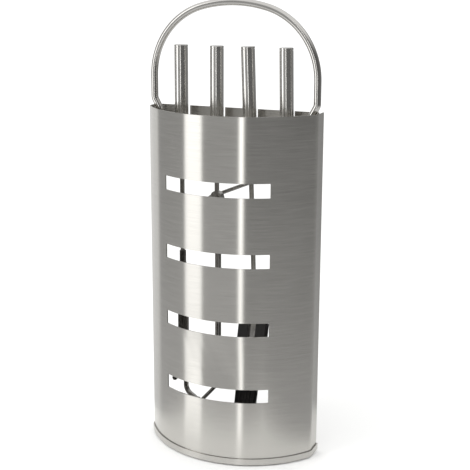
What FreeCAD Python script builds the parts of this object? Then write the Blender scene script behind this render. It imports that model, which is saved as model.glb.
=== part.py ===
"""A fireplace companion set: a slotted, bowed steel stand with a loop handle and four hanging tools.

The frame is +Z up, +X to the right of someone facing the bowed front, +Y to the open back.  The origin is
on the floor, under the middle of the stand's outer box.  All sizes are in millimetres.
"""

import FreeCAD
import Part
import math
import os
import re
import sys
from Sketcher import Constraint as SketchRule

Vector = FreeCAD.Vector
UP = Vector(0, 0, 1)

SIZES = {
    # the stand's wall: a bowed front between two straight side wings, open at the back
    "shell_half_width": 130.0,
    "shell_bow": 73.0,
    "shell_wing": 27.0,
    "shell_sheet": 1.5,
    "shell_bend": 15.0,
    "rim_height": 514.5,
    # the see-through slots
    "slot_top": 422.5,
    "slot_pitch": 101.0,
    "slot_height": 20.5,
    "slot_half_angle": 31.9,
    # the base
    "foot_height": 2.5,
    "foot_radius": 7.0,
    "foot_side": 104.0,
    "foot_front_side": 58.0,
    "pan_sheet": 1.5,
    "pan_rim": 9.0,
    "pan_gap": 0.3,
    "ballast_thick": 5.0,
    "ballast_inset": 22.0,
    "bracket_sheet": 2.5,
    "bracket_height": 22.0,
    "bracket_width": 16.0,
    "bracket_foot": 16.0,
    "screw_radius": 2.5,
    "screw_head_radius": 4.4,
    "screw_head": 1.8,
    "screw_past": 1.0,
    "ballast_screw_side": 50.0,
    # the rack that the tools hang from
    "rack_sheet": 1.2,
    "ledge_drop": 13.5,
    "ledge_front": 18.0,
    "ledge_gap": 0.4,
    "lip_height": 10.0,
    "tab_height": 14.0,
    "tab_front": 8.0,
    "flange_half_width": 123.2,
    "flange_below_rim": 0.5,
    "notch_half_width": 5.2,
    # the places of the tools
    "row_back": 8.0,
    "leg_back": 9.5,
    "inner_tool": 25.5,
    "outer_tool": 81.5,
    # the loop carry handle
    "loop_rod_radius": 5.2,
    "loop_half_width": 125.5,
    "loop_corner": 103.0,
    "loop_corner_rise": 57.5,
    "loop_rise": 163.5,
    "leg_half_width": 117.5,
    "joggle_rise": 9.0,
    "joggle_height": 15.0,
    "joggle_bend": 12.0,
    "leg_below_ledge": 12.0,
    "leg_gap": 0.3,
    "collar_radius": 8.0,
    "collar_height": 5.0,
    "washer_radius": 9.0,
    "washer_thick": 1.5,
    "nut_flats": 16.0,
    "nut_height": 8.0,
    # the handles of the tools
    "grip_radius": 10.0,
    "grip_wall": 1.2,
    "grip_length": 98.5,
    "cap_thick": 3.0,
    "cap_rebate": 0.7,
    "plug_thick": 6.0,
    "spigot_depth": 8.0,
    "rod_radius": 3.5,
    "rod_in_grip": 30.0,
    # the poker
    "poker_blade_half": 8.0,
    "poker_blade_thick": 5.0,
    "poker_blade_top": 288.0,
    "poker_blade_full": 222.0,
    "poker_blade_low": 135.0,
    "poker_groove": 0.8,
    "poker_hook_radius": 4.0,
    "poker_hook_drop": 106.0,
    "poker_hook_forward": 24.0,
    "poker_hook_bend": 14.0,
    "poker_hook_side": 4.0,
    "poker_hook_dip": 6.0,
    # the tongs
    "tongs_turn": -12.0,
    "tongs_pivot": 383.0,
    "tongs_ear_radius": 10.0,
    "tongs_ear_thick": 2.5,
    "tongs_ear_gap": 0.4,
    "tongs_boss_thick": 5.0,
    "tongs_leg_bend": 89.0,
    "tongs_tip": 58.0,
    "tongs_tip_side": 28.0,
    "tongs_bend_radius": 12.0,
    "leg_behind": 6.3,
    "leg_radius": 2.9,
    "jaw_top": 162.0,
    "jaw_low": 114.0,
    "jaw_side": 64.0,
    "jaw_turn": 63.0,
    "jaw_bend_radius": 14.0,
    "claw_radius": 4.0,
    "claw_reach": 17.0,
    "claw_drop": 3.0,
    "jaw_point_radius": 2.4,
    "lever_left": 18.0,
    "lever_drop": 3.0,
    "lever_right": 59.0,
    "lever_back": 3.0,
    "lever_rise": 25.0,
    "lever_radius": 2.9,
    "rivet_radius": 2.5,
    "rivet_head": 4.5,
    "rivet_head_thick": 1.4,
    # the brush
    "brush_lean": 2.0,
    "brush_kick": 21.0,
    "tongue_half": 6.0,
    "tongue_thick": 3.0,
    "tongue_back": 1.5,
    "tongue_length": 38.0,
    "brush_top": 200.0,
    "brush_half": 21.5,
    "brush_thick": 14.0,
    "brush_block": 52.0,
    "bristle_length": 102.0,
    "bristle_end_half": 14.2,
    "bristle_inset": 4.0,
    "brush_rear": 4.0,
    "brush_shoulder": 3.0,
    "bristle_end_thick": 20.0,
    # the shovel
    "shovel_turn": -20.0,
    "shovel_lean": 1.5,
    "blade_half": 31.0,
    "blade_neck_half": 17.0,
    "flat_thick": 3.0,
    "blade_top": 232.0,
    "blade_shoulder": 205.0,
    "blade_low": 92.0,
    "blade_sheet": 1.2,
    "blade_wall": 6.0,
    "blade_rivet_pitch": 18.0,
}

DERIVED = {
    "shell_radius": "(shell_half_width^2+shell_bow^2)/(2*shell_bow)",
    "chord": "(shell_bow-shell_wing)/2",
    "back": "(shell_bow+shell_wing)/2",
    "floor_top": "foot_height+pan_sheet",
    "ledge_top": "rim_height-ledge_drop",
    "flange_top": "rim_height-flange_below_rim",
    "row": "(shell_bow-shell_wing)/2+row_back",
    "leg_row": "(shell_bow-shell_wing)/2+leg_back",
    "wing_inside": "shell_half_width-shell_sheet",
}

doc = FreeCAD.newDocument("companion_set")
sheet = doc.addObject("Spreadsheet::Sheet", "Sizes")
for row_number, (alias, number) in enumerate(SIZES.items(), start=1):
    sheet.set(f"A{row_number}", alias)
    sheet.set(f"B{row_number}", str(number))
    sheet.setAlias(f"B{row_number}", alias)
doc.recompute()
PIECES = []


def cells(formula):
    """Return the formula with each size's name turned into its cell in the sheet."""
    text = str(formula)
    for word, meaning in DERIVED.items():
        text = re.sub(rf"\b{word}\b", f"({meaning})", text)
    return re.sub(r"\b[a-z]\w*_\w+\b", lambda found: f"Sizes.{found.group(0)}", text)


def value(name):
    """Return a named size, or one worked out from the sizes, as a number."""
    if name not in DERIVED:
        return float(sheet.get(name))
    half, bow, wing = (value("shell_half_width"), value("shell_bow"), value("shell_wing"))
    return {
        "shell_radius": (half**2 + bow**2) / (2 * bow),
        "chord": (bow - wing) / 2,
        "back": (bow + wing) / 2,
        "floor_top": value("foot_height") + value("pan_sheet"),
        "ledge_top": value("rim_height") - value("ledge_drop"),
        "row": (bow - wing) / 2 + value("row_back"),
        "leg_row": (bow - wing) / 2 + value("leg_back"),
        "wing_inside": half - value("shell_sheet"),
    }[name]


def bound(kind, name, place=(0, 0, 0), **sizes):
    """Add a Part primitive whose sizes and place are bound to the sheet."""
    made = doc.addObject(kind, name)
    for prop, formula in sizes.items():
        made.setExpression(prop, cells(formula))
    for axis, formula in zip("xyz", place):
        made.setExpression(f"Placement.Base.{axis}", cells(formula))
    return made


def box(name, low, size):
    """Add a box from its lowest corner and its three sizes."""
    return bound("Part::Box", name, low, Length=size[0], Width=size[1], Height=size[2])


def cylinder(name, radius, height, place):
    """Add an upright cylinder that starts at the given place."""
    return bound("Part::Cylinder", name, place, Radius=radius, Height=height)


def join(name, *parts):
    """Fuse several objects."""
    made = doc.addObject("Part::MultiFuse", name)
    made.Shapes = list(parts)
    return made


def cut(name, base, tool):
    """Cut one object with another."""
    made = doc.addObject("Part::Cut", name)
    made.Base, made.Tool = base, tool
    return made


def common(name, *parts):
    """Keep what several objects share."""
    made = doc.addObject("Part::MultiCommon", name)
    made.Shapes = list(parts)
    return made


def piece(label, made):
    """Name a finished sub-part."""
    made.Label = label
    PIECES.append(made)
    return made


def formed(label, shape, placement=None):
    """Add a sub-part whose shape is worked out from the sheet by this file's own code."""
    made = doc.addObject("Part::Feature", label + "_shape")
    made.Shape = shape
    if placement is not None:
        made.Placement = placement.multiply(shape.Placement)
    return piece(label, made)


def turned(label, outline, place):
    """Revolve an outline of (radius, height) corners about an upright axis at the given place."""
    body = doc.addObject("PartDesign::Body", label + "_body")
    upright = [plane for plane in body.Origin.OriginFeatures if plane.Role == "XZ_Plane"][0]
    sketch = body.newObject("Sketcher::SketchObject", label + "_outline")
    sketch.AttachmentSupport = [(upright, "")]
    sketch.MapMode = "FlatFace"
    corners = [Vector(corner_number + 1, corner_number % 2 + 1, 0) for corner_number in range(len(outline))]
    for first, second in zip(corners, corners[1:] + corners[:1]):
        sketch.addGeometry(Part.LineSegment(first, second), False)
    count = len(outline)
    for line in range(count):
        sketch.addConstraint(SketchRule("Coincident", line, 2, (line + 1) % count, 1))
    for line, (radius, height) in enumerate(outline):
        for direction, formula in (("DistanceX", radius), ("DistanceY", height)):
            if str(formula) == "0":
                axis = -2 if direction == "DistanceX" else -1
                sketch.addConstraint(SketchRule("PointOnObject", line, 1, axis))
                continue
            index = sketch.addConstraint(SketchRule(direction, -1, 1, line, 1, 1.0))
            sketch.setExpression(f"Constraints[{index}]", cells(formula))
    spin = body.newObject("PartDesign::Revolution", label + "_turning")
    spin.Profile = sketch
    spin.ReferenceAxis = (sketch, ["V_Axis"])
    spin.Angle = 360
    body.Tip = spin
    for axis, formula in zip("xyz", place):
        body.setExpression(f"Placement.Base.{axis}", cells(formula))
    return piece(label, body)


def bowed(name, grow, low, high, back_grow="0"):
    """A D-shaped solid: the bowed front and the two wings, grown outwards by some millimetres."""
    radius = f"shell_radius+({grow})"
    round_front = cylinder(name + "_bow", radius, f"({high})-({low})", (0, "chord-shell_bow+shell_radius", low))
    half = f"(shell_half_width+({grow}))"
    window = box(
        name + "_window",
        (f"-{half}", "chord-shell_bow-50", low),
        (f"2*{half}", "shell_bow+50+shell_wing/2", f"({high})-({low})"),
    )
    wings = box(
        name + "_wings",
        (f"-{half}", "chord+shell_wing/3", low),
        (f"2*{half}", f"shell_wing*2/3+({back_grow})", f"({high})-({low})"),
    )
    whole = join(name + "_sharp", common(name + "_front", round_front, window), wings)
    whole.Refine = True
    doc.recompute()
    soft = doc.addObject("Part::Fillet", name)
    soft.Base = whole
    bend = value("shell_bend")
    soft.Edges = [(number, bend, bend) for number in bend_edges(whole.Shape)]
    return soft


def bend_edges(shape):
    """The numbers of the two upright edges where the bowed front meets the wings."""
    found = []
    for number, edge in enumerate(shape.Edges, start=1):
        low, high = edge.Vertexes[0].Point, edge.Vertexes[-1].Point
        upright = abs(low.x - high.x) < 0.01 and abs(low.y - high.y) < 0.01 and abs(low.z - high.z) > 0.5
        if upright and abs(low.x) > value("wing_inside") * 0.5 and abs(low.y - value("chord")) < 8.5:
            found.append(number)
    return found


def rod_path(points, radius, bend):
    """A round rod along straight runs, with each corner rounded by a tangent arc."""
    runs, start = [], points[0]
    for before, corner, after in zip(points, points[1:], points[2:]):
        inward, outward = (corner - before).normalize(), (after - corner).normalize()
        turn = inward.getAngle(outward)
        room = min((corner - start).Length, (after - corner).Length * 0.5)
        reach = min(bend * math.tan(turn / 2), room * 0.95)
        first, last = corner - inward * reach, corner + outward * reach
        sideways = (outward - inward).normalize()
        arc_radius = reach / math.tan(turn / 2)
        middle = corner + sideways * (arc_radius / math.cos(turn / 2) - arc_radius)
        runs.append(Part.LineSegment(start, first).toShape())
        runs.append(Part.Arc(first, middle, last).toShape())
        start = last
    runs.append(Part.LineSegment(start, points[-1]).toShape())
    heading = (points[1] - points[0]).normalize()
    section = Part.Wire([Part.makeCircle(radius, points[0], heading)])
    return Part.Wire(runs).makePipeShell([section], True, False)


def rod(start, end, radius):
    """A straight round rod between two points."""
    return Part.makeCylinder(radius, (end - start).Length, start, end - start)


def slab(low, high):
    """A box between two corners."""
    return Part.makeBox(high[0] - low[0], high[1] - low[1], high[2] - low[2], Vector(*low))


def outline_slab(corners, thickness, front):
    """An upright plate from its outline of (across, height) corners; it starts at the given depth."""
    loop = [Vector(across, front, height) for across, height in corners]
    face = Part.Face(Part.makePolygon(loop + loop[:1]))
    return face.extrude(Vector(0, thickness, 0))


def hung(side, turn=0.0, lean=0.0):
    """The placement of a tool: its axis stands in its notch, turned about it and leaning a little."""
    seat = Vector(0, 0, value("ledge_top"))
    leaning = FreeCAD.Rotation(Vector(0, 1, 0), -lean)
    raised = value("grip_radius") * math.sin(math.radians(abs(lean))) * 1.1
    swing = FreeCAD.Placement(Vector(0, 0, raised), leaning, seat)
    return FreeCAD.Placement(
        Vector(side, value("row"), 0), FreeCAD.Rotation(UP, turn)
    ).multiply(swing)


# ---------------------------------------------------------------- the stand
def front_shell():
    """The bowed wall with its wings and its slots."""
    outer = bowed("shell_outer", "0", "floor_top", "rim_height")
    inner = bowed("shell_inner", "-shell_sheet", "floor_top-1", "rim_height+1", "5")
    wall = cut("shell_wall", outer, inner)
    slots = []
    for number in range(4):
        top = f"slot_top-{number}*slot_pitch"
        wedge = bound(
            "Part::Cylinder",
            f"slot_{number + 1}",
            (0, "chord-shell_bow+shell_radius", f"{top}-slot_height"),
            Radius="shell_radius+8",
            Height="slot_height",
            Angle="2*slot_half_angle",
        )
        wedge.setExpression("Placement.Rotation.Angle", cells("270-slot_half_angle"))
        slots.append(wedge)
    piece("front_shell", cut("shell_slotted", wall, join("slots", *slots)))


def base():
    """The pan that the wall stands in, its ballast, brackets, screws and feet."""
    outside = "pan_gap+pan_sheet"
    pan_outer = bowed("pan_outer", outside, "foot_height", "foot_height+pan_rim", outside)
    pan_inner = bowed("pan_inner", "pan_gap", "floor_top", "foot_height+pan_rim+1", "pan_gap")
    spots = bracket_spots() + ballast_spots()
    holes = [
        cylinder(f"pan_hole_{number}", "screw_radius", "pan_sheet+2", (x, y, "foot_height-1"))
        for number, (x, y) in enumerate(spots, start=1)
    ]
    piece("base_pan", cut("pan_drilled", cut("pan_tray", pan_outer, pan_inner), join("pan_holes", *holes)))
    weight = bowed("weight", "-ballast_inset", "floor_top", "floor_top+ballast_thick", "0")
    taps = [
        cylinder(f"ballast_tap_{number}", "screw_radius", "screw_past+ballast_thick", (x, y, "floor_top"))
        for number, (x, y) in enumerate(ballast_spots(), start=1)
    ]
    piece("ballast_plate", cut("weight_tapped", weight, join("ballast_taps", *taps)))
    length = "pan_sheet+bracket_sheet+screw_past"
    screws = []
    for number, (x, y) in enumerate(spots, start=1):
        shank = cylinder(f"screw_shank_{number}", "screw_radius", length, (x, y, "foot_height"))
        head = cylinder(f"screw_head_{number}", "screw_head_radius", "screw_head", (x, y, "foot_height-screw_head"))
        slot = box(
            f"screw_drive_{number}",
            (f"({x})-screw_head_radius", f"({y})-0.5", "foot_height-screw_head"),
            ("2*screw_head_radius", "1", "screw_head/2"),
        )
        screws.append(cut(f"screw_{number}", join(f"screw_blank_{number}", shank, head), slot))
    piece("base_screws", join("all_screws", *screws))
    feet = [
        (f"{sign}foot_side", "back-pan_sheet-foot_radius-6") for sign in ("-", "")
    ] + [(f"{sign}foot_front_side", "chord-shell_bow*0.55") for sign in ("-", "")]
    for number, (x, y) in enumerate(feet, start=1):
        pad = [
            ("0", "0"),
            ("foot_radius-0.8", "0"),
            ("foot_radius", "0.8"),
            ("foot_radius", "foot_height"),
            ("0", "foot_height"),
        ]
        turned(f"rubber_foot_{number}", pad, (x, y, 0))


def bracket_spots():
    """Where the screws of the three brackets stand: one at each wing and one at the front."""
    side = "shell_half_width-shell_sheet-bracket_foot/2"
    front = "chord-shell_bow+shell_sheet+bracket_foot/2"
    return [(f"-({side})", "chord+shell_wing/2"), (side, "chord+shell_wing/2"), ("0", front)]


def ballast_spots():
    """Where the two screws of the ballast plate stand."""
    return [("-ballast_screw_side", "chord-10"), ("ballast_screw_side", "chord-10")]


def brackets():
    """Three welded angles that tie the wall to the pan."""
    names = ("left_bracket", "right_bracket")
    for label, sign, (x, y) in zip(names, ("-", ""), bracket_spots()):
        inside = "shell_half_width-shell_sheet"
        low_x = f"-({inside})" if sign == "-" else f"{inside}-bracket_foot"
        wall_x = f"-({inside})" if sign == "-" else f"{inside}-bracket_sheet"
        low_y = f"{y}-bracket_width/2"
        foot = box(label + "_foot", (low_x, low_y, "floor_top"), ("bracket_foot", "bracket_width", "bracket_sheet"))
        wall = box(
            label + "_wall", (wall_x, low_y, "floor_top"), ("bracket_sheet", "bracket_width", "bracket_height")
        )
        tap = cylinder(label + "_tap", "screw_radius", "bracket_sheet+2", (x, y, "floor_top-1"))
        piece(label, cut(label + "_tapped", join(label + "_angle", foot, wall), tap))
    middle = "chord-shell_bow+shell_radius"
    low_y = "chord-shell_bow"
    reach = cylinder("front_reach", "shell_radius-shell_sheet", "bracket_height", (0, middle, "floor_top"))
    hollow = cylinder(
        "front_hollow",
        "shell_radius-shell_sheet-bracket_sheet",
        "bracket_height",
        (0, middle, "floor_top+bracket_sheet"),
    )
    strip = box(
        "front_strip",
        ("-bracket_width/2", low_y, "floor_top"),
        ("bracket_width", "shell_sheet+bracket_foot", "bracket_height"),
    )
    x, y = bracket_spots()[2]
    tap = cylinder("front_tap", "screw_radius", "bracket_sheet+2", (x, y, "floor_top-1"))
    angle = cut("front_angle", common("front_blank", reach, strip), join("front_away", hollow, tap))
    piece("front_bracket", angle)


def tool_places():
    """The four notches' places across the stand, left to right."""
    return ["-outer_tool", "-inner_tool", "inner_tool", "outer_tool"]


def rack():
    """The notched ledge with its upright flange, its lip and its welded end tabs."""
    under = "ledge_top-rack_sheet"
    full = bowed("ledge_full", "-shell_sheet-ledge_gap", under, "ledge_top", "0")
    strip = box(
        "ledge_strip",
        ("-shell_half_width", "chord-ledge_front", under),
        ("2*shell_half_width", "ledge_front+shell_wing", "rack_sheet"),
    )
    ledge = common("ledge", full, strip)
    flange = box(
        "flange",
        ("-flange_half_width", "back-rack_sheet", under),
        ("2*flange_half_width", "rack_sheet", "flange_top-ledge_top+rack_sheet"),
    )
    lip = box(
        "lip",
        ("-leg_half_width+6", "chord-ledge_front", f"{under}-lip_height"),
        ("2*leg_half_width-12", "rack_sheet", "lip_height+rack_sheet"),
    )
    blank = [ledge, flange, lip]
    for name, low in (("left_tab", "-wing_inside"), ("right_tab", "wing_inside-rack_sheet")):
        blank.append(
            box(
                name,
                (low, "chord+tab_front", f"{under}-tab_height"),
                ("rack_sheet", "shell_wing-tab_front", "tab_height+rack_sheet"),
            )
        )
    tall = "flange_top-ledge_top+rack_sheet+4"
    holes = []
    for number, place in enumerate(tool_places(), start=1):
        holes.append(cylinder(f"notch_end_{number}", "notch_half_width", tall, (place, "row", f"{under}-1")))
        holes.append(
            box(
                f"notch_{number}",
                (f"({place})-notch_half_width", "row", f"{under}-1"),
                ("2*notch_half_width", "back-row+2", tall),
            )
        )
    for name, place in (("left_leg_hole", "-leg_half_width"), ("right_leg_hole", "leg_half_width")):
        holes.append(cylinder(name, "loop_rod_radius+leg_gap", tall, (place, "leg_row", f"{under}-1")))
    piece("tool_rack", cut("rack_notched", join("rack_blank", *blank), join("rack_holes", *holes)))


def carry_handle():
    """The loop of round rod, with its collars, washers and nuts."""
    radius, half, corner = value("loop_rod_radius"), value("loop_half_width"), value("loop_corner")
    ledge, row = value("ledge_top"), value("leg_row")
    start, top = ledge + value("loop_corner_rise"), ledge + value("loop_rise")
    leg, low = value("leg_half_width"), ledge - value("rack_sheet") - value("leg_below_ledge")
    bent_from = ledge + value("joggle_rise")
    bent_to = bent_from + value("joggle_height")
    inset, rise = half - corner, top - start
    crown = (inset**2 + rise**2 - corner**2) / (2 * (rise - corner))
    lift = math.atan2(start - (top - crown), inset)
    curve = []
    for sign in (-1, 1):
        leg_points = [(leg, low), (leg, bent_from), (half, bent_to), (half, start)]
        curve.append([Vector(sign * x, row, z) for x, z in leg_points])
    left, right = curve
    legs = [rod_path(points, radius, value("joggle_bend")) for points in (left, right)]

    def on_corner(sign, angle):
        """A point on a corner arc, by its angle above the level."""
        return Vector(sign * (inset + corner * math.cos(angle)), row, start + corner * math.sin(angle))

    arcs = [
        Part.Arc(on_corner(-1, 0), on_corner(-1, lift / 2), on_corner(-1, lift)).toShape(),
        Part.Arc(on_corner(-1, lift), Vector(0, row, top), on_corner(1, lift)).toShape(),
        Part.Arc(on_corner(1, lift), on_corner(1, lift / 2), on_corner(1, 0)).toShape(),
    ]
    ring = Part.Wire([Part.makeCircle(radius, on_corner(-1, 0), UP)])
    bow = Part.Wire(arcs).makePipeShell([ring], True, False)
    formed("carry_handle", legs[0].fuse([bow, legs[1]]).removeSplitter())
    under = "ledge_top-rack_sheet"
    for label, sign in (("left", "-"), ("right", "")):
        place = (f"{sign}leg_half_width", "leg_row")
        bore = "loop_rod_radius"
        ring_outline = [
            (bore, "0"),
            ("collar_radius", "0"),
            ("collar_radius", "collar_height-1"),
            ("collar_radius-1", "collar_height"),
            (bore, "collar_height"),
        ]
        turned(f"{label}_leg_collar", ring_outline, (*place, "ledge_top"))
        washer = [(bore, "0"), ("washer_radius", "0"), ("washer_radius", "washer_thick"), (bore, "washer_thick")]
        turned(f"{label}_leg_washer", washer, (*place, f"{under}-washer_thick"))
        hexagon = bound(
            "Part::Prism",
            f"{label}_hexagon",
            (*place, f"{under}-washer_thick-nut_height"),
            Circumradius="nut_flats/1.7320508",
            Height="nut_height",
        )
        hole = cylinder(f"{label}_nut_bore", bore, "nut_height+2", (*place, f"{under}-washer_thick-nut_height-1"))
        piece(f"{label}_leg_nut", cut(f"{label}_nut", hexagon, hole))


# ---------------------------------------------------------------- what every tool has
def grip(tool, placement):
    """The tube, the end cap and the bottom plug of a tool's handle, standing on the ledge."""
    seat, radius, wall = value("ledge_top"), value("grip_radius"), value("grip_wall")
    length, thick = value("grip_length"), value("plug_thick")
    inner = radius - wall
    tube = Part.makeCylinder(radius, length, Vector(0, 0, seat))
    tube = tube.cut(Part.makeCylinder(inner, length + 2, Vector(0, 0, seat - 1)))
    formed(f"{tool}_grip", tube, placement)
    top = seat + length
    rebate = value("cap_rebate")
    cap = Part.makeCylinder(inner, value("spigot_depth") + rebate, Vector(0, 0, top - value("spigot_depth")))
    disc = Part.makeCylinder(radius, value("cap_thick"), Vector(0, 0, top + rebate))
    disc = disc.makeFillet(0.6, [edge for edge in disc.Edges if edge.BoundBox.ZMin > top + rebate + 1])
    formed(f"{tool}_cap", cap.fuse(disc).removeSplitter(), placement)
    plug = Part.makeCylinder(inner, thick, Vector(0, 0, seat))
    plug = plug.cut(Part.makeCylinder(value("rod_radius"), thick + 2, Vector(0, 0, seat - 1)))
    formed(f"{tool}_plug", plug, placement)


def tilted(shape, placement):
    """A copy of a shape, moved by a placement."""
    moved = shape.copy()
    moved.Placement = placement.multiply(moved.Placement)
    return moved


def shaft(bottom, reach_up=None):
    """The plain round rod of a tool, from inside its grip down to a height."""
    top = value("ledge_top") + value("rod_in_grip") if reach_up is None else reach_up
    return Part.makeCylinder(value("rod_radius"), top - bottom, Vector(0, 0, bottom))


def rivet(place, along, length, radius, head, head_thick):
    """A rivet with a flat head: it starts at a place and runs along a direction."""
    along = Vector(along).normalize()
    shank = Part.makeCylinder(radius, length, place, along)
    cap = Part.makeCylinder(head, head_thick, place - along * head_thick, along)
    return shank.fuse(cap).removeSplitter()


# ---------------------------------------------------------------- the tools
def poker():
    """A rod that widens into a ribbed blade and ends in a short hook."""
    placement = hung(-value("outer_tool"))
    grip("poker", placement)
    top, full, low = (value(f"poker_blade_{part}") for part in ("top", "full", "low"))
    formed("poker_rod", shaft(top), placement)
    half, thick = value("poker_blade_half"), value("poker_blade_thick")
    neck = value("rod_radius") + 0.4
    hook = value("poker_hook_radius")
    tail = low - 22
    profile = [
        (-neck, top), (-half, full), (-half, low), (-hook * 0.9, tail),
        (hook * 0.9, tail), (half, low), (half, full), (neck, top),
    ]
    blade = outline_slab(profile, thick, -thick / 2)
    deep = value("poker_groove")
    for across in (-half * 0.5, 0.0, half * 0.5):
        for face in (-thick / 2 - 1, thick / 2 - deep):
            blade = blade.cut(slab((across - 0.9, face, low + 2), (across + 0.9, face + 1 + deep, full)))
    socket = Part.makeCylinder(neck + 1.0, 14, Vector(0, 0, top - 5))
    socket = socket.cut(Part.makeCylinder(value("rod_radius"), 30, Vector(0, 0, top)))
    drop, forward = value("poker_hook_drop"), value("poker_hook_forward")
    end = Vector(-value("poker_hook_side"), -forward, drop - value("poker_hook_dip"))
    bar = rod_path([Vector(0, 0, low - 8), Vector(0, 0, drop), end], hook, value("poker_hook_bend"))
    bar = bar.fuse(Part.makeSphere(hook, end))
    shape = blade.fuse([socket, bar]).removeSplitter()
    formed("poker_point", shape, placement)


def tongs():
    """Two legs on one rivet: the fixed leg is the handle's rod, the other one swings with its lever."""
    placement = hung(-value("inner_tool"), value("tongs_turn"))
    grip("tongs", placement)
    pivot, ear, thick = value("tongs_pivot"), value("tongs_ear_radius"), value("tongs_ear_thick")
    gap, boss = value("tongs_ear_gap") / 2, value("tongs_boss_thick")
    bend, tip, tip_side = value("tongs_leg_bend"), value("tongs_tip"), value("tongs_tip_side")
    leg_radius, behind = value("leg_radius"), value("leg_behind")
    clear = ear + 1.5
    half_lap = slab((-20, -gap, pivot - clear), (20, 20, pivot + clear))
    lower = rod_path([Vector(0, 0, pivot), Vector(0, 0, bend), Vector(-tip_side, 0, tip)], leg_radius,
                     value("tongs_bend_radius"))
    plate = Part.makeCylinder(ear, thick, Vector(0, -gap - thick, pivot), Vector(0, 1, 0))
    bore = Part.makeCylinder(value("rivet_radius"), 40, Vector(0, -15, pivot), Vector(0, 1, 0))
    start = Vector(0, -gap - thick, pivot)
    pin = rivet(
        start, (0, 1, 0), thick + 2 * gap + boss - 0.8, value("rivet_radius"), value("rivet_head"),
        value("rivet_head_thick"),
    )
    fixed = shaft(pivot).fuse(lower).cut(half_lap).fuse(plate).cut([bore, pin]).removeSplitter()
    formed("tongs_fixed_leg", fixed, placement)
    formed("tongs_rivet", pin, placement)
    jaw_side, jaw_top, jaw_low, jaw_turn = (value(f"jaw_{part}") for part in ("side", "top", "low", "turn"))
    claw, bow = value("claw_radius"), value("jaw_bend_radius")
    hip = Vector(-jaw_side, behind, jaw_low)
    elbow = Vector(-jaw_side, behind, jaw_turn)
    knee = Vector(-jaw_side + value("claw_reach"), behind - 0.5, tip - value("claw_drop"))
    half_way = (hip + elbow) * 0.5
    moving = rod_path([Vector(0, behind, pivot), Vector(0, behind, jaw_top), hip, half_way], leg_radius, bow)
    finger = rod_path([half_way, elbow, knee], claw, bow).fuse(Part.makeSphere(claw, half_way))
    point_radius = value("jaw_point_radius")
    meet = Vector(-tip_side - leg_radius - point_radius - 0.8, 0, tip)
    nib = rod(knee - (knee - elbow).normalize() * 2, meet, point_radius).fuse(Part.makeSphere(claw, knee))
    moving = moving.fuse(finger)
    disc = Part.makeCylinder(ear, boss, Vector(0, gap, pivot), Vector(0, 1, 0))
    loose = Part.makeCylinder(value("rivet_radius") + 0.05, boss + 10, Vector(0, gap - 1, pivot), Vector(0, 1, 0))
    body = moving.fuse([nib, disc]).cut(loose).removeSplitter()
    back = gap + boss + value("lever_radius") - 0.5
    lever_start = Vector(-value("lever_left"), back, pivot - value("lever_drop"))
    turn = math.radians(value("tongs_turn"))
    right, away = value("lever_right"), value("lever_back")
    reach = Vector(
        right * math.cos(turn) + away * math.sin(turn),
        away * math.cos(turn) - right * math.sin(turn),
        value("lever_rise"),
    )
    lever = rod(lever_start, lever_start + reach, value("lever_radius"))
    knob = Part.makeSphere(value("lever_radius"), lever_start + reach)
    heel = Part.makeSphere(value("lever_radius"), lever_start)
    formed("tongs_moving_leg", body, placement)
    formed("tongs_lever", lever.fuse([knob, heel]).cut([body, loose]).removeSplitter(), placement)


def brush():
    """A flat brush, kicked forwards, on a rod with a flattened end."""
    placement = hung(value("inner_tool"), 0.0, value("brush_lean"))
    grip("brush", placement)
    top, half, thick = value("brush_top"), value("brush_half"), value("brush_thick")
    pivot = FreeCAD.Placement(
        Vector(0, 0, 0), FreeCAD.Rotation(Vector(1, 0, 0), -value("brush_kick")), Vector(0, 0, top)
    )
    wide, flat, long = value("tongue_half"), value("tongue_thick"), value("tongue_length")
    back_face = -value("tongue_back")
    tongue = slab((-wide, back_face - flat, top - long), (wide, back_face, top + 6))
    tongue = tongue.makeFillet(2.5, [edge for edge in tongue.Edges if edge.Length < flat + 0.01
                                     and edge.BoundBox.ZMax < top and edge.BoundBox.XLength < 0.01])
    pins = []
    for down in (long * 0.35, long * 0.8):
        pin = rivet(Vector(0, back_face - flat, top - down), (0, 1, 0), thick * 0.5, 1.6, 3.0, 1.0)
        pins.append(tilted(pin, pivot))
    formed("brush_rivets", Part.makeCompound(pins), placement)
    shape = shaft(top - 4).fuse(tilted(tongue, pivot)).cut(pins).removeSplitter()
    formed("brush_rod", shape, placement)
    rear, round_off = value("brush_rear"), value("brush_shoulder")
    front = rear - thick
    low = top - value("brush_block")
    shoulders = [
        (-half, low), (half, low), (half, top - round_off), (half - round_off, top),
        (-half + round_off, top), (-half, top - round_off),
    ]
    block = outline_slab(shoulders, thick, front)
    block = block.cut(slab((-wide, front - 1, top - long), (wide, back_face, top + 1)))
    rod_room = Part.makeCylinder(value("rod_radius") + 0.2, 40, Vector(0, 0, top - 6))
    block = tilted(block, pivot).cut([rod_room, *pins])
    formed("brush_block", block.removeSplitter(), placement)
    middle = (front + rear) / 2
    tuft = loft_tuft(half - value("bristle_inset"), thick / 2 - 2, value("bristle_end_half"), value("bristle_end_thick") / 2,
                     low, value("bristle_length"), middle)
    formed("brush_bristles", tilted(tuft, pivot), placement)


def loft_tuft(half, depth, end_half, end_depth, high, length, middle):
    """The tuft of bristles as one solid that goes from one rectangle to another."""
    rings = []
    for wide, deep, height in ((half, depth, high), (end_half, end_depth, high - length)):
        corners = [(-wide, -deep), (wide, -deep), (wide, deep), (-wide, deep), (-wide, -deep)]
        rings.append(Part.makePolygon([Vector(x, middle + y, height) for x, y in corners]))
    return Part.makeLoft(rings, True, True)


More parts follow.
